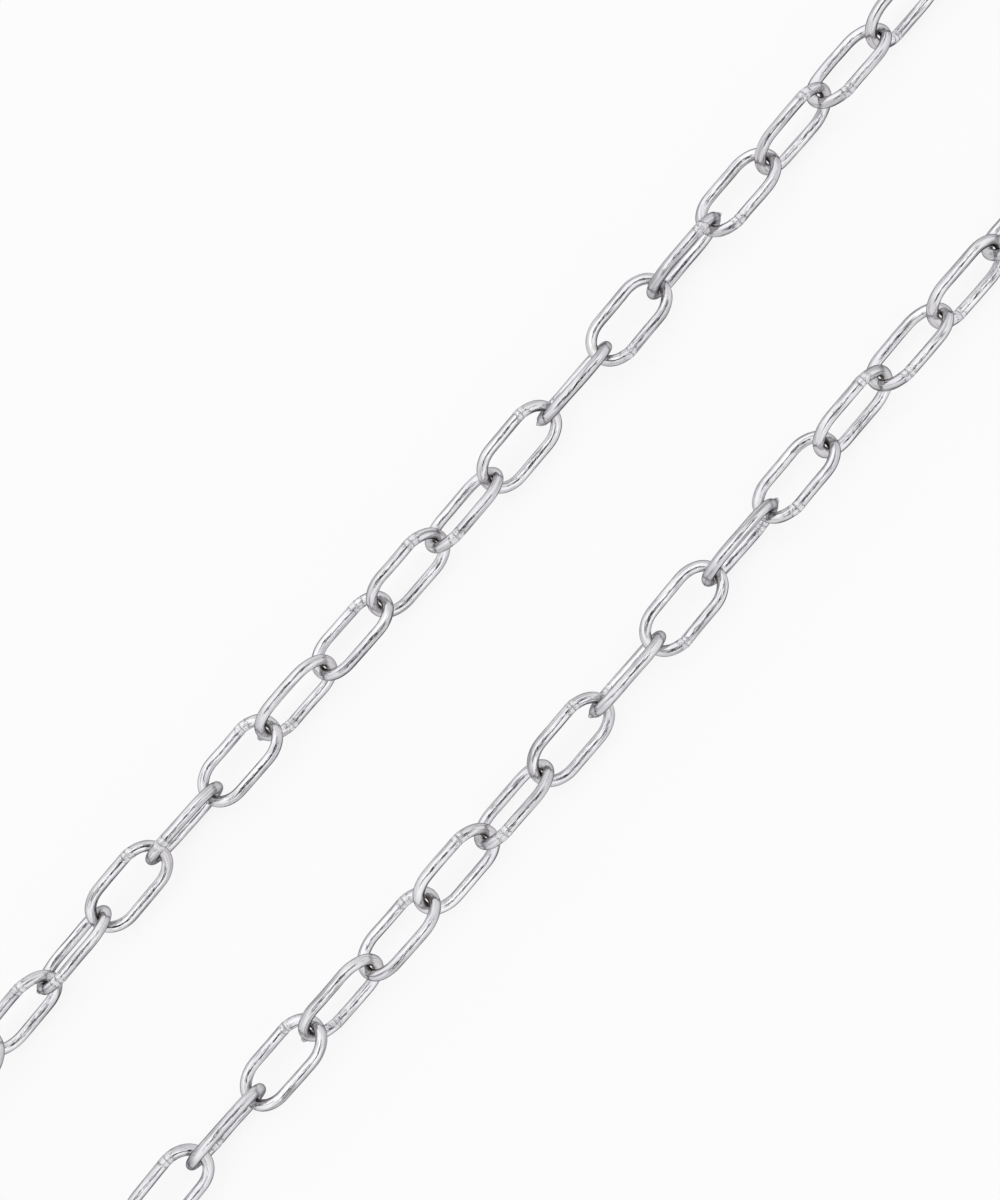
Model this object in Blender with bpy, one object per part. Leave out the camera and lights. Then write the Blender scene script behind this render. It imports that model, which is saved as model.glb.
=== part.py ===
"""A paperclip chain: long oval links of round wire, each hooked through the next.

One length of chain lies doubled back on a flat surface. It runs out along +X, turns
through half a circle and comes back beside itself. Every link is a closed oval loop of
wire: two straight legs run through easy shoulders into two tighter tips. Neighbours cross
at about a right angle and the whole chain carries a slow twist. Empties mark the hooks,
and turning one about its own X axis swings everything that hangs from it.
"""

import math

import bmesh
import bpy
import numpy as np
from mathutils import Matrix, Vector

MM = 0.001

# The wire and the link that is bent from it
WIRE_DIAMETER = 1.25 * MM
LINK_WIDTH = 6.1 * MM
LINK_LENGTH = 11.7 * MM
HOOK_PLAY = 0.12 * MM
SEAM_SWELL = 0.03 * MM

# The oval's tips: how tightly they are bent, against half the link's width, and how many
# degrees they span to either side before the shoulders take over
TIP_TIGHTNESS = 0.88
TIP_SPAN = 55.0

# How finely the link is cut into flats, which touch the true round from outside
WIRE_FLATS = 8
BEND_FLATS = 10
SHARP_ANGLE = 60.0

# How each link of the outgoing strand leans over, in degrees, from the free end to the
# turn: zero puts its width upright and 90 lays it flat. Every other link adds the quarter
# turn that hooking needs.
STRAND_LEANS = (
    -54, -43, -31, -32, -24, -19, 0, 3, 20, 37,
    44, 50, 63, 65, 82, 95, 118, 125, 148, 159,
)
RETURN_LEAN = -5.4
RETURN_LINKS = 18

# The turn: which way each of its links points and how much it climbs, in degrees
TURN = ((24, -0.5), (63, 0.0), (108, 0.0), (150, -0.9))

# The strands wander a little to either side, in a slow wave
SWAY = 0.74
SWAY_LINKS = 12
SWAY_START = 6.5

# Places along a strand where the link's seam is at its end away from the turn. The seam is
# on the -Y leg there and on the +Y leg elsewhere, or the other way round where it is swapped.
SEAM_AWAY = {1, 4, 6, 9, 11, 12, 14, 16, 18}
SEAM_SWAPPED = {6, 8}

# A hook bends about the parent's wire, unless that wire stands steeper than this
STEEPEST_AXIS = 60.0

# Neighbours cross, so the links lie in two sets, a quarter turn apart
CROSSING_SETS = 2
HALF_TURN = math.degrees(math.pi)
QUARTER = HALF_TURN / 2

WIRE_RADIUS = WIRE_DIAMETER / 2
LEG_REACH = (LINK_WIDTH - WIRE_DIAMETER) / 2
END_REACH = (LINK_LENGTH - WIRE_DIAMETER) / 2
TIP_RADIUS = TIP_TIGHTNESS * LEG_REACH
TIP_SIDE = math.sin(math.radians(TIP_SPAN))
SHOULDER_RADIUS = (LEG_REACH - TIP_RADIUS * TIP_SIDE) / (1 - TIP_SIDE)
WIRE_STEP = WIRE_DIAMETER + HOOK_PLAY


class Lie:
    """Where a link lies: its centre, and the directions of its length and its width."""

    def __init__(self, centre, along, across, place):
        self.centre = centre
        self.along = along
        self.across = across
        self.seam_end = -1 if place in SEAM_AWAY else 1
        self.seam_leg = -self.seam_end if place in SEAM_SWAPPED else self.seam_end

    @property
    def front_wire(self):
        return self.centre + END_REACH * self.along

    @property
    def back_wire(self):
        return self.centre - END_REACH * self.along

    def matrix(self):
        """The link's frame, turned so that its seam lies at the end and on the leg it should."""
        length = math.copysign(1, self.seam_end * self.along.x) * self.along
        width = math.copysign(1, self.seam_leg * self.across.y) * self.across
        return frame_matrix(self.centre, length, width)


def frame_matrix(origin, x_axis, y_axis):
    z_axis = x_axis.cross(y_axis)
    columns = (x_axis, y_axis, z_axis, origin)
    matrix = Matrix([[column[row] for column in columns] for row in range(3)])
    matrix.resize_4x4()
    return matrix


def clear_scene():
    for obj in list(bpy.data.objects):
        bpy.data.objects.remove(obj, do_unlink=True)


def polished_silver():
    material = bpy.data.materials.new("polished_silver")
    material.use_nodes = True
    shader = material.node_tree.nodes["Principled BSDF"]
    shader.inputs["Base Color"].default_value = (0.82, 0.81, 0.84, 1.0)
    shader.inputs["Metallic"].default_value = 1.0
    shader.inputs["Roughness"].default_value = 0.14
    return material


def flat_distance(facing):
    """How far from the link's centre a flat lies that touches the wire's centre line.

    The flat faces this many radians away from the link's length. It touches the arc of the
    tip or, past the tip's span, the wider arc of the shoulder that runs into the leg.
    """
    facing = abs(facing)
    past_tip = facing - math.radians(TIP_SPAN)
    distance = (END_REACH - TIP_RADIUS) * math.cos(facing) + TIP_RADIUS
    if past_tip > 0:
        distance += (SHOULDER_RADIUS - TIP_RADIUS) * (1 - math.cos(past_tip))
    return distance


def bend_stations():
    """Corners of the wire's centre line, all round the loop, as (along, across) pairs.

    Each corner is where two neighbouring flats meet. The flats touch the true curve from
    outside, and the middle one of each end faces straight along the link.
    """
    half_step = math.pi / BEND_FLATS / 2
    stations = []
    for end in (1, -1):
        for corner in range(BEND_FLATS):
            angle = math.pi / 2 - (2 * corner + 1) * half_step
            before = flat_distance(angle + half_step)
            after = flat_distance(angle - half_step)
            outward = (before + after) / 2 / math.cos(half_step)
            sideways = (before - after) / 2 / math.sin(half_step)
            along = outward * math.cos(angle) - sideways * math.sin(angle)
            across = outward * math.sin(angle) + sideways * math.cos(angle)
            stations.append(Vector((end * along, end * across, 0.0)))
    return stations


def add_section(mesh, before, here, after, swell):
    """One ring of the wire at a corner, lying in the plane that halves the bend."""
    incoming = (here - before).normalized()
    outgoing = (after - here).normalized()
    tangent = (incoming + outgoing).normalized()
    outward = tangent.cross(Vector((0.0, 0.0, 1.0)))
    stretch = 1 / tangent.dot(incoming)
    corner_radius = (WIRE_RADIUS + swell) / math.cos(math.pi / WIRE_FLATS)
    ring = []
    for corner in range(WIRE_FLATS):
        angle = 2 * math.pi * (corner + 0.5) / WIRE_FLATS
        offset = outward * (math.cos(angle) * stretch * corner_radius)
        offset.z = math.sin(angle) * corner_radius
        ring.append(mesh.verts.new(here + offset))
    return ring


def link_mesh():
    """The closed loop of wire, its length along X, with a slight swell at the soldered seam."""
    stations = bend_stations()
    shape = bmesh.new()
    rings = []
    for index, here in enumerate(stations):
        before = stations[index - 1]
        after = stations[(index + 1) % len(stations)]
        swell = SEAM_SWELL if index == 0 else 0.0
        rings.append(add_section(shape, before, here, after, swell))
    for index, ring in enumerate(rings):
        following = rings[(index + 1) % len(rings)]
        for corner in range(WIRE_FLATS):
            beside = (corner + 1) % WIRE_FLATS
            quad = (ring[corner], ring[beside], following[beside], following[corner])
            shape.faces.new(quad)
    bmesh.ops.recalc_face_normals(shape, faces=shape.faces)
    mesh = bpy.data.meshes.new("link")
    shape.to_mesh(mesh)
    shape.free()
    mesh.shade_smooth()
    mesh.set_sharp_from_angle(angle=math.radians(SHARP_ANGLE))
    return mesh


def sway_at(place):
    return SWAY * math.cos(2 * math.pi * (place - SWAY_START) / SWAY_LINKS)


def headings_and_rolls():
    """Each link's heading, roll, climb and place, in the order of the chain."""
    poses = []
    for place, lean in enumerate(STRAND_LEANS):
        roll = lean + QUARTER * (place % CROSSING_SETS)
        poses.append((sway_at(place), roll, 0.0, place))
    back = []
    for place in range(RETURN_LINKS - 1, -1, -1):
        roll = STRAND_LEANS[place] + RETURN_LEAN + QUARTER * (place % CROSSING_SETS)
        back.append((HALF_TURN + sway_at(place), -roll, 0.0, place))
    hooks = len(TURN) + 1
    last_out = poses[-1][1]
    left_over = back[0][1] - last_out - QUARTER * hooks
    extra = math.remainder(left_over, HALF_TURN) / hooks
    for number, (heading, climb) in enumerate(TURN, 1):
        roll = last_out + (QUARTER + extra) * number
        poses.append((heading, roll, climb, None))
    return poses + back


def directions(heading, roll, climb):
    """Unit vectors along and across a link."""
    heading, roll, climb = (math.radians(angle) for angle in (heading, roll, climb))
    side = Vector((-math.sin(heading), math.cos(heading), 0.0))
    along = Vector((math.cos(heading), math.sin(heading), math.tan(climb))).normalized()
    upright = along.cross(side)
    return along, math.cos(roll) * upright + math.sin(roll) * side


def hooked_centre(parent, along, across):
    """The centre of a link whose end wire sits inside the end of its parent's."""
    pull = across.cross(parent.across).normalized()
    if pull.dot(parent.along) < 0:
        pull.negate()
    return parent.front_wire - WIRE_STEP * pull + END_REACH * along


def lay_chain():
    lies = []
    for heading, roll, climb, place in headings_and_rolls():
        along, across = directions(heading, roll, climb)
        centre = hooked_centre(lies[-1], along, across) if lies else Vector()
        lies.append(Lie(centre, along, across, place))
    return lies


def hook_axes(lies):
    """The point and the direction that each link after the first swings about.

    The axis runs along the parent's end wire or the link's own. Its sense changes from one
    hook to the next about the same set of wires, so equal swings fold the chain to and fro.
    """
    axes = []
    last_sense = {}
    for number in range(1, len(lies)):
        parent, child = lies[number - 1], lies[number]
        steepness = math.degrees(math.asin(min(1.0, abs(parent.across.z))))
        if steepness <= STEEPEST_AXIS:
            point, wire, owner = parent.front_wire, parent.across, number - 1
        else:
            point, wire, owner = child.back_wire, child.across, number
        wire_set = owner % CROSSING_SETS
        if wire_set in last_sense:
            before = last_sense[wire_set]
            sense = -1 if wire.dot(before) > 0 else 1
        else:
            sense = 1
        last_sense[wire_set] = sense * wire
        axes.append((point, sense * wire))
    return axes


def centre_on_floor(lies, mesh):
    """Shifts the chain so that the origin lies under the middle of its box."""
    corners = np.array([vertex.co for vertex in mesh.vertices])
    turned = [corners @ np.array(lie.matrix().to_3x3()).T + lie.centre for lie in lies]
    points = np.concatenate(turned)
    low, high = points.min(axis=0), points.max(axis=0)
    shift = Vector(((low[0] + high[0]) / 2, (low[1] + high[1]) / 2, low[2]))
    for lie in lies:
        lie.centre = lie.centre - shift


def hang(obj, parent, world):
    """Links the object to the scene and places it in the world under its parent."""
    bpy.context.scene.collection.objects.link(obj)
    obj.parent = parent
    obj.matrix_basis = parent.matrix_world.inverted() @ world if parent else world
    bpy.context.view_layer.update()


def build_chain():
    mesh = link_mesh()
    mesh.materials.append(polished_silver())
    lies = lay_chain()
    centre_on_floor(lies, mesh)
    axes = hook_axes(lies)
    link = None
    for number, lie in enumerate(lies, 1):
        carrier = None
        if link:
            point, axis = axes[number - 2]
            carrier = bpy.data.objects.new(f"hook_{number - 1:02d}_{number:02d}", None)
            carrier.empty_display_size = WIRE_DIAMETER
            beside = axis.cross(lie.along).normalized()
            hang(carrier, link, frame_matrix(point, axis, beside))
        link = bpy.data.objects.new(f"link_{number:02d}", mesh)
        hang(link, carrier, lie.matrix())


clear_scene()
build_chain()
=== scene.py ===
# %% [markdown]
# # A silver paperclip chain
#
# The chain is bent from round wire, one long oval link after another. Each link is closed
# with a spot of solder and passes through the next at about a right angle. This lesson
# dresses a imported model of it: every link becomes a smooth wire with its own seam, polished
# and a little scratched, and lies on a white table under soft light.

import math

import bpy
import numpy as np
from mathutils import Matrix, Vector


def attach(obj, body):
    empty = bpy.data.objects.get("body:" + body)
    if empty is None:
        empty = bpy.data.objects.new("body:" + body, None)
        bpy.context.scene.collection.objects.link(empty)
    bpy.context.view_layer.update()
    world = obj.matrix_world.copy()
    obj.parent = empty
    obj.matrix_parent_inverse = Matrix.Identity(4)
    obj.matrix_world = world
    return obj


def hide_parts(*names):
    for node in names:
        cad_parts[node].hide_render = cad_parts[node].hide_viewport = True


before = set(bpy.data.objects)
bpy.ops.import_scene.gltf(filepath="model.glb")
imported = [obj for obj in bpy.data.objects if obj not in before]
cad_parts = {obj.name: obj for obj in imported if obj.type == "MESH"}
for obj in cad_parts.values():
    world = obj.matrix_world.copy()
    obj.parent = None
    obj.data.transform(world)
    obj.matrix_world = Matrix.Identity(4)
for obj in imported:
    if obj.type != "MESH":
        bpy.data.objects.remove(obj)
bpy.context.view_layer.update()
MM = 0.001
link_names = sorted(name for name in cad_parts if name.startswith("link_"))

# %% [markdown]
# ## The camera
#
# The chain is seen from almost straight above, from 18 centimetres away, as if the maker
# bent over the table with a close-up lens. The view leans 12 degrees towards the
# second strand, so the strands run from the lower left of the picture to the upper right.
# A camera's own axes are its right, its up and its back, so three unit vectors are all
# that is needed to aim it, and no angles have to be guessed.

# %% Camera
LEAN = math.radians(12)
SWING = math.radians(131.24)
VIEW_DISTANCE = 180 * MM
LOOK_AT = Vector((2.62, -2.79, 3.05)) * MM
PIXELS_HIGH = 1200
FOCUS_PIXELS = 1683
SENSOR_HIGH = 36
NEAREST = 10 * MM

along_floor = Vector((1, 0, 0))
down_view = Vector((0, math.cos(LEAN), -math.sin(LEAN)))
back = Vector((0, math.sin(LEAN), math.cos(LEAN)))
right = math.cos(SWING) * along_floor + math.sin(SWING) * down_view
up = -math.sin(SWING) * along_floor + math.cos(SWING) * down_view

camera_data = bpy.data.cameras.new("camera")
camera_data.sensor_fit = "VERTICAL"
camera_data.sensor_height = SENSOR_HIGH
camera_data.lens = SENSOR_HIGH * FOCUS_PIXELS / PIXELS_HIGH
camera_data.clip_start = NEAREST
camera = bpy.data.objects.new("camera", camera_data)
bpy.context.scene.collection.objects.link(camera)
turned = Matrix((right, up, back)).transposed().to_4x4()
camera.matrix_world = Matrix.Translation(LOOK_AT + VIEW_DISTANCE * back) @ turned
bpy.context.scene.camera = camera
bpy.context.scene.view_settings.view_transform = "Standard"
print(f"lens {camera_data.lens:.1f} mm, camera at {[round(v / MM, 1) for v in camera.location]} mm")

# %% [markdown]
# ## Small helpers for materials
#
# Shaders are graphs of nodes. Four short helpers keep the graphs readable. One adds a node
# with its settings and inputs and joins whatever is a socket. The others are one step of
# arithmetic, one smooth step between two levels, and one mix of two numbers.

# %% Node helpers
def add_node(tree, kind, inputs=None, **settings):
    """Adds a node, sets its options, and fills inputs by name or number; a socket is linked."""
    node = tree.nodes.new(kind)
    for name, value in settings.items():
        setattr(node, name, value)
    for key, value in (inputs or {}).items():
        if isinstance(value, bpy.types.NodeSocket):
            tree.links.new(value, node.inputs[key])
        else:
            node.inputs[key].default_value = value
    return node


def maths(tree, operation, first, second=0.0, third=0.0):
    """One Math node, and its result."""
    node = add_node(tree, "ShaderNodeMath", {0: first, 1: second, 2: third}, operation=operation)
    return node.outputs[0]


def ramp(tree, value, low, high, at_low=0.0, at_high=1.0):
    """A smooth step: at_low where the value is low or less, at_high where it is high or more."""
    inputs = {"Value": value, "From Min": low, "From Max": high, "To Min": at_low, "To Max": at_high}
    node = add_node(tree, "ShaderNodeMapRange", inputs, interpolation_type="SMOOTHSTEP")
    return node.outputs[0]


def mix_numbers(tree, factor, first, second):
    """The first number times (1 - factor), plus the second times the factor."""
    inputs = {"Factor": factor, "A": first, "B": second}
    return add_node(tree, "ShaderNodeMix", inputs, data_type="FLOAT").outputs[0]


print("helpers ready:", ", ".join(helper.__name__ for helper in (add_node, maths, ramp, mix_numbers)))

# %% [markdown]
# ## The light tent
#
# Polished metal has hardly a colour of its own: it shows what stands around it. Jewellery
# is photographed in a white tent with a gap left open for the lens, and that gap is the
# dark line down the middle of every wire. Lamps could stand in for the tent, but a world
# shader can paint it from the direction alone, so it lights evenly from all round and costs
# nothing to render. The gap is a band of angles over the chain, from one strand to the
# other, with a bright panel on either side of it. It closes towards the two ends of the
# chain. Near the floor the tent is as pale as the table, and there the camera may see it.

# %% Tent
PALE = 0.965
PANEL_NEAR, PANEL_FAR = 1.20, 1.12
GAP = 0.03
ENDS = 1.0
NEAR_EDGE = math.radians(7), math.radians(-1)
FAR_EDGE = math.radians(29), math.radians(37)
ENDS_FROM = 0.36, 0.60
PALE_BELOW = math.sin(math.radians(14)), math.sin(math.radians(26))

world = bpy.data.worlds.new("tent")
bpy.context.scene.world = world
world.use_nodes = True
tree = world.node_tree
tree.nodes.clear()
direction = add_node(tree, "ShaderNodeTexCoord").outputs["Generated"]
axes = add_node(tree, "ShaderNodeSeparateXYZ", {0: direction}).outputs
x, y, z = axes[0], axes[1], axes[2]

over = maths(tree, "ARCTAN2", y, z)
near_panel = ramp(tree, over, *NEAR_EDGE)
far_panel = ramp(tree, over, *FAR_EDGE)
sides = maths(tree, "MULTIPLY", near_panel, PANEL_NEAR - GAP)
sides = maths(tree, "MULTIPLY_ADD", far_panel, PANEL_FAR - GAP, sides)
sides = maths(tree, "ADD", sides, GAP)
towards_ends = ramp(tree, maths(tree, "ABSOLUTE", x), *ENDS_FROM)
above = mix_numbers(tree, towards_ends, sides, ENDS)
level = mix_numbers(tree, ramp(tree, z, *PALE_BELOW), PALE, above)
tint = add_node(tree, "ShaderNodeCombineColor", {0: level, 1: level, 2: level}).outputs[0]
glow = add_node(tree, "ShaderNodeBackground", {"Color": tint, "Strength": 1.0}).outputs[0]
add_node(tree, "ShaderNodeOutputWorld", {"Surface": glow})
print(f"tent of {len(tree.nodes)} nodes, pale {PALE}, panels {PANEL_NEAR} and {PANEL_FAR}, gap {GAP}")

# %% [markdown]
# ## The table
#
# The table is a sheet of matt white card. One large square is enough; it only has to reach
# far past the edge of every view. A photographer lights such a card from behind until it is
# nearly white. Here the card glows by itself, but only for rays that come straight from the
# camera or out of a reflection, so the glow doesn't light the chain. A share of plain matt
# card is mixed in, and that share keeps the soft shadow under the links.

# %% Table
TABLE_HALF = 3.0
CARD_WHITE = (0.93, 0.93, 0.93, 1)
CARD_ROUGH = 0.9
GLOW_SHARE = 0.83

corners = np.array([(-1, -1, 0), (1, -1, 0), (1, 1, 0), (-1, 1, 0)]) * TABLE_HALF
table_mesh = bpy.data.meshes.new("table")
table_mesh.from_pydata(corners.tolist(), [], [(0, 1, 2, 3)])
table = bpy.data.objects.new("table", table_mesh)
bpy.context.scene.collection.objects.link(table)

card = bpy.data.materials.new("white_card")
card.use_nodes = True
tree = card.node_tree
shader = tree.nodes["Principled BSDF"]
shader.inputs["Base Color"].default_value = CARD_WHITE
shader.inputs["Roughness"].default_value = CARD_ROUGH
shader.inputs["Specular IOR Level"].default_value = 0.0
ray = add_node(tree, "ShaderNodeLightPath").outputs
seen = maths(tree, "MAXIMUM", ray["Is Camera Ray"], ray["Is Glossy Ray"])
seen = maths(tree, "MAXIMUM", seen, ray["Is Transmission Ray"])
share = maths(tree, "MULTIPLY", seen, GLOW_SHARE)
glow = add_node(tree, "ShaderNodeEmission", {"Strength": 1.0}).outputs[0]
lit = add_node(tree, "ShaderNodeMixShader", {0: share, 1: shader.outputs[0], 2: glow}).outputs[0]
tree.links.new(lit, tree.nodes["Material Output"].inputs["Surface"])
table_mesh.materials.append(card)
print(f"table {2 * TABLE_HALF:.0f} m across, {GLOW_SHARE:.0%} of what the camera sees is glow")

# %% [markdown]
# ## Where each link lies
#
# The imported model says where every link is, but only as a mesh. A link is much longer than
# wide and wider than thick, so the three principal axes of its points are its length, its
# width and its thickness. What is left is the sense of the first two, and the soldered
# seam settles that: the model's wire swells a little at one of its four shoulders, and
# both axes are turned to point at it.

# %% Find the lie of a link
WIRE_RADIUS = 1.25 * MM / 2
LINK_WIDTH = 6.1 * MM
LINK_LENGTH = 11.7 * MM
LEG_REACH = LINK_WIDTH / 2 - WIRE_RADIUS
END_REACH = LINK_LENGTH / 2 - WIRE_RADIUS
SEAM_ALONG = 2.76 * MM
ON_SHOULDER = 1.4 * WIRE_RADIUS


def mesh_points(obj):
    """Every vertex of a mesh as one array of rows."""
    points = np.empty(3 * len(obj.data.vertices))
    obj.data.vertices.foreach_get("co", points)
    return points.reshape(-1, 3)


def lie_of(name):
    """Centre and 3x3 axes (rows: length, width, normal), with the seam at plus length, plus width.

    Centre is the mean point; the axes are the singular vectors of the points about it. Of the
    four shoulders, the seam is where a vertex lies furthest from the wire's own centre line.
    """
    points = mesh_points(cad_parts[name])
    centre = points.mean(axis=0)
    axes = np.linalg.svd(points - centre, full_matrices=False)[2]
    flat = (points - centre) @ axes.T
    signs = np.array([(1, 1), (1, -1), (-1, 1), (-1, -1)])
    shoulders = np.column_stack((signs * (SEAM_ALONG, LEG_REACH), np.zeros(4)))
    away = np.linalg.norm(flat[None] - shoulders[:, None], axis=2)
    swell = np.where(away < ON_SHOULDER, away, 0).max(axis=1)
    length, width = axes[:2] * signs[swell.argmax()][:, None]
    return centre, np.array((length, width, np.cross(length, width)))


lies = {name: lie_of(name) for name in link_names}
first = lies[link_names[0]]
print("link_01 centre", np.round(first[0] / MM, 2), "length axis", np.round(first[1][0], 3))

# %% [markdown]
# ## The oval of a link
#
# A link starts as straight wire that is wound round an oval bar: a tight tip, an easier
# shoulder on either side of it, and a straight leg. Half the loop is therefore four pieces
# of constant curvature, and the other half repeats them. The tip's radius is given, and
# the shoulder's follows, since both together have to turn the wire by a quarter and end
# on the leg.

# %% Oval
TIP_TIGHTNESS = 0.88
TIP_SPAN = math.radians(55)


def oval_pieces(tightness):
    """Lengths and curvatures of shoulder, tip, shoulder and leg, which make half of the loop.

    Tip radius = tightness * half width. Shoulder radius = (half width - tip radius * sin span)
    / (1 - sin span). The leg takes what is left of the link's length. Curvature is 1 / radius.
    """
    side = math.sin(TIP_SPAN)
    tip = tightness * LEG_REACH
    shoulder = (LEG_REACH - tip * side) / (1 - side)
    leg = 2 * (END_REACH - tip * (1 - math.cos(TIP_SPAN)) - shoulder * math.cos(TIP_SPAN))
    shoulder_length = shoulder * (math.pi / 2 - TIP_SPAN)
    lengths = np.array((shoulder_length, 2 * tip * TIP_SPAN, shoulder_length, leg))
    curvatures = np.array((1 / shoulder, 1 / tip, 1 / shoulder, 0))
    return lengths, curvatures


print("shoulder, tip, shoulder, leg", np.round(oval_pieces(TIP_TIGHTNESS)[0] / MM, 2), "mm long")

# %% [markdown]
# ## The centre line of a link
#
# Wire springs back a little, so one bend runs gently into the next. The line is therefore
# worked out from its curvature: the four pieces, softened by a moving average. Adding up
# the curvature gives the heading, and adding up the heading's cosine and sine gives the
# points. At the seam two cut ends meet. A cut end stays straight for about its own
# thickness, because the bar can't bend the last of the wire, so the curvature drops out
# there and comes back as a slight corner at the joint itself.

# %% Centre line
STATIONS = 200
FINE = 4000
SPRING = 0.9 * MM
STRAIGHT_END = 0.75 * MM
CORNER_HALF = 0.15 * MM
USUAL_CORNER = 0.8


def centre_line(tightness, corner):
    """Points (along, across) of one closed loop, evenly spaced, from its seam round.

    Curvature is that of the oval's pieces, averaged over a window. Near the seam a share of
    it, the corner, is gathered at one spot. Heading is its running sum, the points are the
    running sum of (cos, sin) of the heading, and the loop is scaled to the link's length and
    width.
    """
    lengths, curvatures = oval_pieces(tightness)
    total = 2 * lengths.sum()
    step = total / FINE
    seam = SEAM_ALONG - lengths[-1] / 2
    s = (np.arange(FINE) + 0.5) * step
    piece = np.searchsorted(np.cumsum(lengths), s % lengths.sum())
    bent = curvatures[np.minimum(piece, len(lengths) - 1)]
    window = max(1, round(SPRING / step))
    wrapped = np.concatenate((bent[-window:], bent, bent[:window]))
    soft = np.convolve(wrapped, np.ones(window) / window, mode="same")[window:-window]
    from_seam = (s - seam + total / 2) % total - total / 2
    taken = corner * soft * np.exp(-((from_seam / STRAIGHT_END) ** 4))
    sharp = np.exp(-((from_seam / CORNER_HALF) ** 2))
    soft = soft - taken + sharp * taken.sum() / sharp.sum()
    soft *= 2 * math.pi / (soft.sum() * step)
    heading = -(np.cumsum(soft) - soft / 2) * step
    xy = np.column_stack((np.cumsum(np.cos(heading)), np.cumsum(np.sin(heading)))) * step
    xy -= xy[-1] * (np.arange(1, FINE + 1) / FINE)[:, None]
    xy -= (xy.max(axis=0) + xy.min(axis=0)) / 2
    xy *= np.array((END_REACH, LEG_REACH)) / xy.max(axis=0)
    xy = np.roll(xy, -round(seam / step), axis=0)
    return xy[::FINE // STATIONS]


sample_line = centre_line(TIP_TIGHTNESS, USUAL_CORNER)
print("centre line", STATIONS, "stations, half size", np.round(sample_line.max(axis=0) / MM, 3),
      "mm, seam at", np.round(sample_line[0] / MM, 2))

# %% [markdown]
# ## Two ways to be a little uneven
#
# Most of what follows fades in and out, or varies a little, and both should have no kinks.
# A smooth step is a cubic that leaves and arrives level. Smooth noise on a closed line is
# a few sines with random heights and phases: whole waves only, so its ends meet.

# %% Smooth steps and smooth noise
def smooth_step(values, low, high):
    """0 where the value is at low, 1 where it is at high, and 3 t^2 - 2 t^3 between."""
    t = np.clip((values - low) / (high - low), 0, 1)
    return t * t * (3 - 2 * t)


def smooth_noise(rng, places, waves, size=1.0):
    """Size times the sum of normal / k * sin(2 pi k place + phase), for k from 1 to waves."""
    count = np.arange(1, waves + 1)
    weight = rng.normal(size=waves) / count
    turn = rng.uniform(0, 2 * math.pi, waves)
    wave = np.sin(2 * math.pi * places[..., None] * count + turn) @ weight
    return size * wave


print("smooth step a quarter and half of the way", smooth_step(np.array((0.25, 0.5)), 0, 1))

# %% [markdown]
# ## No two links are the same
#
# No link leaves the bench perfect, so each one gets its own tightness, corner, slight bow
# and waviness. The waves fade out towards the tips, where the bar held the wire. The links
# of the turn, where the chain doubles back, are bent easier and truer than the rest, since
# they have the least room to swing.

# %% Wavy path
PLACE = np.arange(STATIONS) / STATIONS
TIGHTNESS_SPREAD = -0.01, 0.03
CORNER_SPREAD = 0.5, 1.0
WAVES = 5
WAVE_ACROSS = 0.025 * MM
WAVE_UP = 0.03 * MM
TURN_LINKS = [f"link_{number}" for number in range(20, 27)]
TURN_TIGHTNESS = 0.94
TURN_LOOSE = 0.4


def wavy_path(rng, name):
    """The centre line of one link with its own bends and waves, and its length.

    The path is (along, across + wave, wave), and each wave is smooth noise times
    (1 - (along / longest)^2)^2.
    """
    in_turn = name in TURN_LINKS
    loose = TURN_LOOSE if in_turn else 1.0
    tightness = TURN_TIGHTNESS if in_turn else TIP_TIGHTNESS + rng.uniform(*TIGHTNESS_SPREAD)
    line = centre_line(tightness, loose * rng.uniform(*CORNER_SPREAD))
    total = np.linalg.norm(np.roll(line, -1, axis=0) - line, axis=1).sum()
    on_leg = (1 - (line[:, 0] / line[:, 0].max()) ** 2) ** 2
    path = np.column_stack((line, np.zeros(STATIONS)))
    path[:, 1] += on_leg * smooth_noise(rng, PLACE, WAVES, loose * WAVE_ACROSS)
    path[:, 2] += on_leg * smooth_noise(rng, PLACE, WAVES, loose * WAVE_UP)
    return path, total


def directions_along(path):
    """Outward and normal at every station: tangent = next - last point, outward = z x tangent."""
    tangent = np.roll(path, -1, axis=0) - np.roll(path, 1, axis=0)
    tangent /= np.linalg.norm(tangent, axis=1)[:, None]
    outward = np.cross(np.array((0, 0, 1.0)), tangent)
    outward /= np.linalg.norm(outward, axis=1)[:, None]
    return outward, np.cross(tangent, outward)


sample_path, sample_length = wavy_path(np.random.default_rng(1), "link_01")
print(f"link_01 takes {sample_length / MM:.1f} mm of wire, waves up to",
      f"{np.abs(sample_path[:, 2]).max() / MM:.3f} mm")

# %% [markdown]
# ## The soldered seam
#
# At the seam the two cut ends have been filed and soldered. The wire narrows to a fine
# groove at the joint, which runs a little crooked round it, and swells on either side where
# solder has run. The solder ends raggedly and sets in tiny lumps. All of it is a change of
# the wire's radius on the grid of stations and angles.

# %% Solder and groove
AROUND = 32
ANGLE = 2 * math.pi * np.arange(AROUND) / AROUND
TURN_PART = np.arange(AROUND) / AROUND
SOLDER_HALF = 0.72 * MM
SOLDER_SWELL, SOLDER_LUMPS = 0.016 * MM, 0.010 * MM
RAGGED, RAGGED_WAVES = 0.3, 4
GROOVE_HALF = 0.06 * MM
GROOVE_DEPTH = 0.02 * MM
CROOKED, CROOKED_WAVES = 0.07 * MM, 3


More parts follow.
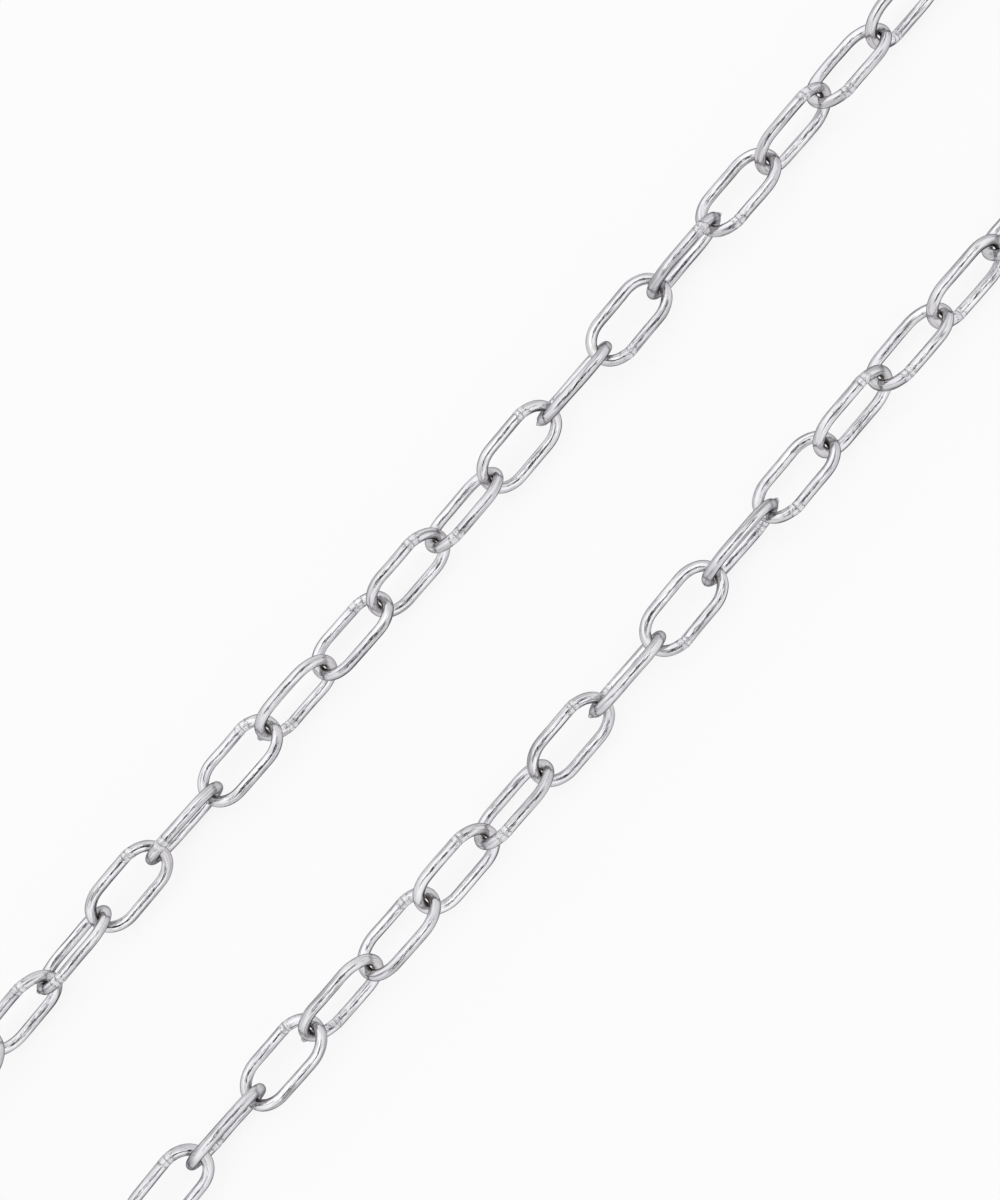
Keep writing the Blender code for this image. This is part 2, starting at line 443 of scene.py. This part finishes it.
def soldered_wire(rng, total):
    """Radius of the wire on the grid, with its solder, groove and lumps as numbers.

    Solder = exp(-(distance from the seam / ragged half length)^4), groove = exp(-(distance
    from its crooked line / half width)^2), lumps = noise averaged with its neighbours.
    Radius = wire radius + solder * (swell + lumps) - groove depth * groove.
    """
    from_seam = (((PLACE + 0.5) % 1 - 0.5) * total)[:, None]
    ragged = 1 + RAGGED * smooth_noise(rng, TURN_PART, RAGGED_WAVES)[None, :]
    solder = np.exp(-((from_seam / (SOLDER_HALF * ragged)) ** 4))
    crooked = CROOKED * smooth_noise(rng, TURN_PART, CROOKED_WAVES)[None, :]
    groove = np.exp(-(((from_seam - crooked) / GROOVE_HALF) ** 2))
    lumps = rng.normal(size=(STATIONS, AROUND))
    lumps = (lumps + np.roll(lumps, 1, 0) + np.roll(lumps, 1, 1) + np.roll(lumps, -1, 1)) / 2
    radius = WIRE_RADIUS + solder * (SOLDER_SWELL + SOLDER_LUMPS * lumps) - GROOVE_DEPTH * groove
    return radius, solder, groove, lumps


sample_radius = soldered_wire(np.random.default_rng(1), sample_length)[0]
print(f"wire {2 * sample_radius.min() / MM:.3f} to {2 * sample_radius.max() / MM:.3f} mm thick")

# %% [markdown]
# ## Lumps on a few tips
#
# A few tips carry a small lump of solder that nobody filed away. The same four places of
# both strands have one. Each lump is a rounded hill on the wire's outside, low enough for
# the neighbour to swing past, and it counts as solder in the finish.

# %% Lumps
BURR_HEIGHT = 0.28 * MM
BURR_WIDTH = 0.26 * MM
BURR_TURN = 0.05
BURR_UNEVEN = 0.25
BURR_SOLDER = 3
BURR_ENDS = {6: -1, 8: 1, 13: 1, 17: 1}


def place_along(number):
    """How many links lie between a link and the free end of its strand."""
    return min(number - 1, len(link_names) - number)


def burr_on(path, outward, towards):
    """Height of the hill on the grid: height * exp(-d^3), with d the distance / width.

    The distance is the hypotenuse of the way along the wire and the way round it, from the
    outermost point of the tip that the sign towards picks.
    """
    tip = (towards * path[:, 0]).argmax()
    along = np.linalg.norm(path - path[tip], axis=1)
    out = 0 if outward[tip] @ path[tip] > 0 else math.pi
    turned = np.abs((ANGLE - out + BURR_TURN + math.pi) % (2 * math.pi) - math.pi) * WIRE_RADIUS
    away = np.hypot(along[:, None], turned) / BURR_WIDTH
    return BURR_HEIGHT * np.exp(-(away ** 3))


lumpy = [name for number, name in enumerate(link_names, 1) if place_along(number) in BURR_ENDS]
print("links with a lump:", ", ".join(lumpy))

# %% [markdown]
# ## Painted shade on the flanks, dirt and shadow at the hooks
#
# The flanks of the wire are darkened: this is painted shade, standing in for the dark rims that
# the wire's reflection shows. How much is worked out from which way the surface faces as the
# chain lies, against a direction that leans 12 degrees to one side, as the camera does, and the
# further side is darker. The outside of a link, away from its top, is darkened as well. The inside
# of its ends, where the hooks are, turns brownish: partly dirt, partly painted shadow where the
# links touch. Both become numbers on the vertices. They stay with the metal when a link moves.

# %% Painted flank shade, and dirt and shadow at the hooks
# Painted shade: the wire's flanks darken by how far they turn from a direction leaning 12 degrees, as
# the camera does.
SHADE_LEAN = math.radians(12)
BRIGHT_TOWARDS = np.array((0, math.sin(SHADE_LEAN), math.cos(SHADE_LEAN)))
FLANK_STARTS, FLANK_FULL = 0.87, 0.52
FLANK_MIDDLE, FLANK_FURTHER = 0.78, 0.27
# The outside of a link, away from its top, darkens up to this much.
OUTSIDE_DARKENING = 0.5
OUTSIDE = 0.0, 0.5
CREST = 1.0, 0.85
TIP_FROM, TIP_FULL = 0.84, 0.99
INSIDE_FROM, INSIDE_FULL = 0.1, 0.9
TIP_SPARED = 0.7
HOOK_ROUND, HOOK_INSIDE = 0.35, 0.65


def painted_shade_and_dirt(path, outward, ring, axes, solder):
    """Two numbers on the grid: the painted shade on the flank, and the dirt and painted shadow at the
    hook.

    Flank shade = smooth step of (facing . bright direction), times more on the further side, or
    the outside darkening if that is more; the tips are spared. Hook = tip * (round + inside share),
    none on solder.
    """
    # Painted shade on the flanks, darker on the further side.
    facing = ring.reshape(-1, 3) @ axes
    facing_bright = facing @ BRIGHT_TOWARDS
    flank_shade = smooth_step(facing_bright, FLANK_STARTS, FLANK_FULL)
    flank_shade *= np.clip(FLANK_MIDDLE + FLANK_FURTHER * facing[:, 1], 0, 1)
    outwards = np.sign(outward[0] @ path[0]) * np.cos(ANGLE)
    # The outside of a link darkens away from its top.
    outside_darkened = smooth_step(np.tile(outwards, STATIONS), *OUTSIDE) * smooth_step(facing_bright, *CREST)
    flank_shade = np.maximum(flank_shade, OUTSIDE_DARKENING * outside_darkened)
    # Hook: brownish at the inside of the tips, partly dirt and partly painted shadow where the links
    # touch.
    tip = smooth_step(np.abs(path[:, 0]) / END_REACH, TIP_FROM, TIP_FULL)[:, None]
    inside = smooth_step(-outwards, INSIDE_FROM, INSIDE_FULL)[None, :]
    hook_dirt_and_shadow = tip * (HOOK_ROUND + HOOK_INSIDE * inside) * (1 - solder)
    flank_shade = flank_shade * (1 - TIP_SPARED * tip.repeat(AROUND, axis=1).ravel())
    return flank_shade, hook_dirt_and_shadow


# Prints the direction whose facing surface stays free of the painted flank shade.
print("cloth from", np.round(BRIGHT_TOWARDS, 3))

# %% [markdown]
# ## The wire round the line
#
# A round wire is a circle carried along the line. At every station the circle stands square
# to the line: its points are the centre, plus the outward direction times the cosine, plus
# the link's normal times the sine. Both ways round, the last row of faces joins the first.
# A curve with a bevel could make such a tube too, but not its solder, groove and lumps.
# One more attribute goes with the surface: each point's place on the straight wire before
# it was bent, so that scratches can follow the wire round the bends.

# %% Wire surface
NEXT_WIRE = 40 * MM


def tube_faces():
    """Four corners of every face: (i, j), (i, j+1), (i+1, j+1), (i+1, j), wrapped both ways."""
    i, j = np.meshgrid(np.arange(STATIONS), np.arange(AROUND), indexing="ij")
    i_next, j_next = (i + 1) % STATIONS, (j + 1) % AROUND
    quads = np.stack((i * AROUND + j, i * AROUND + j_next,
                      i_next * AROUND + j_next, i_next * AROUND + j), axis=-1)
    return quads.reshape(-1, 4).tolist()


def straight_places(total, number):
    """Each vertex on the unbent wire: (radius cos a, radius sin a, way along + its own offset)."""
    return np.stack((
        WIRE_RADIUS * np.cos(ANGLE)[None, :] * np.ones((STATIONS, 1)),
        WIRE_RADIUS * np.sin(ANGLE)[None, :] * np.ones((STATIONS, 1)),
        (PLACE * total)[:, None] + np.full((1, AROUND), NEXT_WIRE * number),
    ), axis=-1)


def store_numbers(mesh, name, kind, field, values):
    """Keeps one number or vector for every vertex as a named attribute."""
    store = mesh.attributes.new(name, kind, "POINT")
    store.data.foreach_set(field, values.astype(np.float32).ravel())


def wire_link(name, number):
    """One link as a tube on its path, closed both ways, as an object in the row frame.

    Point(i, j) = C_i + r_ij (outward_i cos a_j + normal_i sin a_j), where C_i is the path,
    r_ij the wire's radius with its solder, and a_j the angle round.
    """
    rng = np.random.default_rng(number)
    centre, axes = lies[name]
    path, total = wavy_path(rng, name)
    outward, normal = directions_along(path)
    radius, solder, groove, lumps = soldered_wire(rng, total)
    end = BURR_ENDS.get(place_along(number))
    if end:
        burr = burr_on(path, outward, end * np.sign(axes[0, 0]))
        radius += burr * (1 + BURR_UNEVEN * lumps)
        solder = np.maximum(solder, np.minimum(1, BURR_SOLDER * burr / BURR_HEIGHT))
    ring = outward[:, None] * np.cos(ANGLE)[None, :, None]
    ring = ring + normal[:, None] * np.sin(ANGLE)[None, :, None]
    points = path[:, None] + radius[..., None] * ring
    points = (points.reshape(-1, 3) @ axes) + centre
    flank_shade, hook_dirt_and_shadow = painted_shade_and_dirt(path, outward, ring, axes, solder)

    mesh = bpy.data.meshes.new(f"wire_{name}")
    mesh.from_pydata(points.tolist(), [], tube_faces())
    mesh.shade_smooth()
    store_numbers(mesh, "straight_wire", "FLOAT_VECTOR", "vector", straight_places(total, number))
    store_numbers(mesh, "solder", "FLOAT", "value", solder)
    store_numbers(mesh, "groove", "FLOAT", "value", groove)
    # The flank number holds painted shade; the hook number holds dirt and painted shadow.
    store_numbers(mesh, "flank_shade", "FLOAT", "value", flank_shade)
    store_numbers(mesh, "hook_dirt_and_shadow", "FLOAT", "value", hook_dirt_and_shadow)
    obj = bpy.data.objects.new(f"wire_{name}", mesh)
    bpy.context.scene.collection.objects.link(obj)
    return obj


print(f"a wire has {STATIONS} stations of {AROUND} points, {len(tube_faces())} faces")

# %% [markdown]
# ## The silver: what the shader reads
#
# The finish is polished silver that has been drawn through a die and tumbled. Drawing
# leaves faint lines along the wire, tumbling softens them and adds tiny dents, and the
# solder keeps a frosted, pitted skin. All three are noise on the straight-wire attribute:
# stretched a long way along the wire for the lines, less so for the dents, and even in all
# directions for the pits. An image of scratches would need unwrapping; noise on the
# attribute follows every bend by itself.

# %% Silver's numbers and noises
DRAWN_LINES = {"scale_round": 4200, "scale_along": 200, "detail": 4.0, "coarseness": 0.65}
DENTS = {"scale_round": 900, "scale_along": 260, "detail": 3.0, "coarseness": 0.5}
PITS = {"scale_round": 5000, "scale_along": 5000, "detail": 3.0, "coarseness": 0.6}

silver = bpy.data.materials.new("polished_silver")
silver.use_nodes = True
tree = silver.node_tree
shader = tree.nodes["Principled BSDF"]


def attribute(name):
    """A number that the mesh keeps for every vertex."""
    return add_node(tree, "ShaderNodeAttribute", attribute_name=name).outputs["Fac"]


def noise(scale_round, scale_along, detail, coarseness):
    """Noise on the straight wire, with its own scale round the wire and along it, per metre."""
    scaled = add_node(tree, "ShaderNodeMapping", {
        "Vector": straight, "Scale": (scale_round, scale_round, scale_along)})
    made = add_node(tree, "ShaderNodeTexNoise", {
        "Vector": scaled.outputs[0], "Scale": 1.0, "Detail": detail, "Roughness": coarseness})
    return made.outputs["Fac"]


straight = add_node(tree, "ShaderNodeAttribute", attribute_name="straight_wire").outputs["Vector"]
solder, groove, flank_shade, hook_dirt_and_shadow = (attribute(n) for n in ("solder", "groove", "flank_shade", "hook_dirt_and_shadow"))
drawn, dents, pits = noise(**DRAWN_LINES), noise(**DENTS), noise(**PITS)
print(f"{len(tree.nodes)} nodes read the mesh and make three noises")

# %% [markdown]
# ## The silver's colour
#
# The colour darkens in broken streaks along the flanks, which is painted shade, in single
# scratches elsewhere, brownish at the hooks, partly dirt and partly painted shadow, in a thin dark
# outline round the solder, and in its pits. Between them it wanders a little between fresh and
# worn silver. Each is a factor between 0 and 1 that mixes one more colour in, so they can
# be tuned one at a time.

# %% Silver's colour
BRIGHT = (0.90, 0.895, 0.92, 1)
WORN = (0.76, 0.75, 0.785, 1)
# The dark colour darkens the flanks as painted shade, and the scratches, solder outline and pits as the
# metal's own marks.
DULL_AND_SHADE = (0.11, 0.107, 0.115, 1)
# The brownish colour is partly dirt, partly painted shadow at the hooks.
DIRT_AND_SHADOW = (0.36, 0.33, 0.30, 1)
WORN_TO_BRIGHT = 0.3, 0.7
STREAKS = 0.42, 0.60
STREAK_DEPTH, FLANK_DEPTH = 0.62, 0.36
SCRATCHES = 0.54, 0.66
SCRATCH_DEPTH = 0.75
SOLDER_BRIGHTENS = 0.9
OUTLINE, OUTLINE_DEPTH = (0.44, 0.58), 0.9
PITTED, PIT_DEPTH = (0.58, 0.66), 0.8
DIRT_AND_SHADOW_DEPTH = 0.75


def blend(factor, first, second):
    """Two colours mixed by a factor; either may be a fixed colour or a socket."""
    inputs = {0: factor, 6: first, 7: second}
    return add_node(tree, "ShaderNodeMix", inputs, data_type="RGBA").outputs[2]


streaks = ramp(tree, drawn, *STREAKS)
# Painted shade on the flanks, broken into streaks, joined with the scratches.
streaked_flank_shade = maths(tree, "MULTIPLY", flank_shade, maths(tree, "MULTIPLY_ADD", streaks, STREAK_DEPTH, FLANK_DEPTH))
scratched = maths(tree, "MULTIPLY", ramp(tree, drawn, *SCRATCHES), SCRATCH_DEPTH)
bare = maths(tree, "MULTIPLY_ADD", solder, -SOLDER_BRIGHTENS, 1.0)
shade_and_scratches = maths(tree, "MULTIPLY", maths(tree, "MAXIMUM", streaked_flank_shade, scratched), bare)
off_middle = maths(tree, "ABSOLUTE", maths(tree, "MULTIPLY_ADD", solder, 2.0, -1.0))
edge = maths(tree, "SUBTRACT", 1.0, off_middle)
outline = maths(tree, "MAXIMUM", groove, edge)
outline = maths(tree, "MULTIPLY", outline, ramp(tree, pits, *OUTLINE, 0.0, OUTLINE_DEPTH))
pitted = maths(tree, "MULTIPLY", solder, ramp(tree, pits, *PITTED, 0.0, PIT_DEPTH))
colour = blend(ramp(tree, dents, *WORN_TO_BRIGHT), WORN, BRIGHT)
colour = blend(shade_and_scratches, colour, DULL_AND_SHADE)
colour = blend(maths(tree, "MAXIMUM", outline, pitted), colour, DULL_AND_SHADE)
# Brownish at the hooks: partly dirt, partly painted shadow.
colour = blend(maths(tree, "MULTIPLY", hook_dirt_and_shadow, DIRT_AND_SHADOW_DEPTH), colour, DIRT_AND_SHADOW)
tree.links.new(colour, shader.inputs["Base Color"])
print(f"{len(tree.nodes)} nodes with the colour")

# %% [markdown]
# ## The silver's gloss and its dents
#
# Scratched places scatter a little more light than polished ones, and frosted solder much
# more. Dents, lines and pits also bend the reflections, which is what makes the bright
# bands along the wire waver. They are too shallow to be worth vertices, so each is a bump
# of the same noise that moves the roughness. The shader's own specular tint makes the rim
# of the wire darker, as on metal whose polish is not perfect.

# %% Silver's gloss and bumps
ROUGH_NOISE = 0.3, 0.75
POLISHED, SCRATCHY, FROSTED = 0.06, 0.22, 0.40
RIM_TINT = (0.25, 0.25, 0.27, 1)
DENT_HEIGHT, DENT_STRENGTH = 0.28 * MM, 0.8
LINE_HEIGHT, LINE_STRENGTH = 0.06 * MM, 0.7
PIT_HEIGHT = 0.04 * MM

rough = mix_numbers(tree, solder, ramp(tree, drawn, *ROUGH_NOISE, POLISHED, SCRATCHY), FROSTED)
tree.links.new(rough, shader.inputs["Roughness"])
shader.inputs["Metallic"].default_value = 1.0
shader.inputs["Specular Tint"].default_value = RIM_TINT

waves = add_node(tree, "ShaderNodeBump", {
    "Height": dents, "Distance": DENT_HEIGHT, "Strength": DENT_STRENGTH}).outputs[0]
lines = add_node(tree, "ShaderNodeBump", {
    "Height": drawn, "Distance": LINE_HEIGHT, "Strength": LINE_STRENGTH, "Normal": waves}).outputs[0]
frost = add_node(tree, "ShaderNodeBump", {
    "Height": pits, "Distance": PIT_HEIGHT, "Strength": solder, "Normal": lines}).outputs[0]
tree.links.new(frost, shader.inputs["Normal"])
print(f"silver of {len(tree.nodes)} nodes, roughness {POLISHED} to {SCRATCHY}, solder {FROSTED}")

# %% [markdown]
# ## Dress every link
#
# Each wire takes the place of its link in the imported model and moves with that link's body,
# so the chain can be folded and swung like the real one.

# %% Links
for number, name in enumerate(link_names, 1):
    wire = wire_link(name, number)
    wire.data.materials.append(silver)
    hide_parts(name)
    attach(wire, name)
